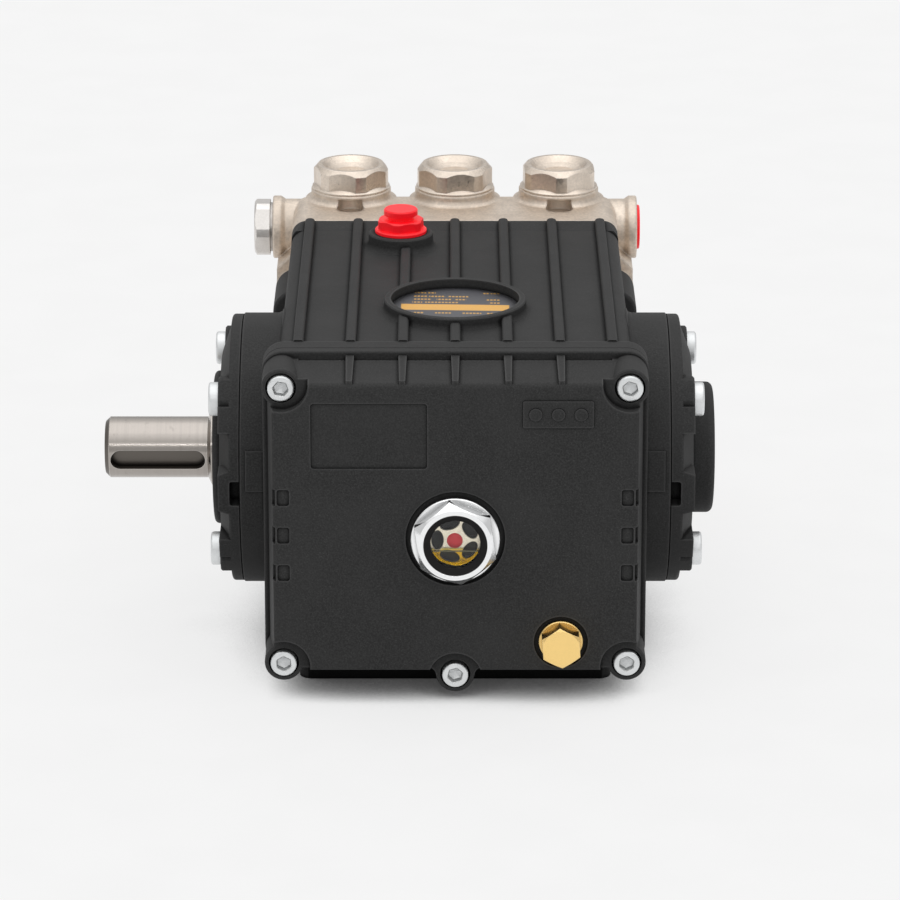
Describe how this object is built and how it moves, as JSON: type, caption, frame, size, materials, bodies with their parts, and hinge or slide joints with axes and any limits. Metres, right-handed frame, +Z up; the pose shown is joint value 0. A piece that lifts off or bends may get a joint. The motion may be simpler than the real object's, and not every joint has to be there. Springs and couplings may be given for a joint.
{
  "type": "triplex plunger pump",
  "caption": "High-pressure triplex plunger pump: ribbed crankcase on a foot, bearing covers, keyed drive shaft, sight glass, drain plug, and a nickel plated valve head with hexagon caps.",
  "frame": {"origin": "on the foot plane, under the shaft's axis and the middle of the crankcase", "axes": "+X along the shaft away from its driven end, +Y towards the valve head, +Z up"},
  "size_m": [0.2378, 0.2784, 0.1477],
  "materials": {
    "black_casting": "satin powder coat over a die casting",
    "seal_rubber": "matt rubber",
    "machined_steel": "turned and ground",
    "nickel_casting": "nickel plated forging",
    "nickel_cap": "nickel plated, machined",
    "nickel_plug": "nickel plated, machined",
    "soft_washer": "plain",
    "red_plastic": "moulded",
    "bright_chrome": "bright plated",
    "window_glass": "clear",
    "reflector_plastic": "moulded",
    "yellow_brass": "machined",
    "dark_plate": "printed plate"
  },
  "bodies": {
    "pump": {"crankcase": "black_casting", "rear_cover": "black_casting", "right_bearing_cover": "black_casting", "left_bearing_cover": "black_casting", "shaft_seal": "seal_rubber", "pump_head": "nickel_casting", "delivery_valve_cap_left": "nickel_cap", "delivery_valve_cap_centre": "nickel_cap", "delivery_valve_cap_right": "nickel_cap", "suction_valve_cap_left": "nickel_cap", "suction_valve_cap_centre": "nickel_cap", "suction_valve_cap_right": "nickel_cap", "delivery_port_plug": "nickel_plug", "suction_port_plug": "nickel_plug", "delivery_plug_washer": "soft_washer", "suction_plug_washer": "soft_washer", "delivery_port_cap": "red_plastic", "suction_port_cap": "red_plastic", "oil_filler_cap": "red_plastic", "sight_glass_nut": "bright_chrome", "sight_glass_seal": "seal_rubber", "sight_window": "window_glass", "sight_reflector": "reflector_plastic", "drain_plug": "yellow_brass", "rating_plate": "dark_plate"},
    "crank": {"crankshaft": "machined_steel"}
  },
  "joints": [
    {"name": "crank_turn", "type": "hinge", "parent": "pump", "child": "crank", "pos_m": [0, 0, 0.074], "axis": [1, 0, 0], "continuous": true}
  ]
}
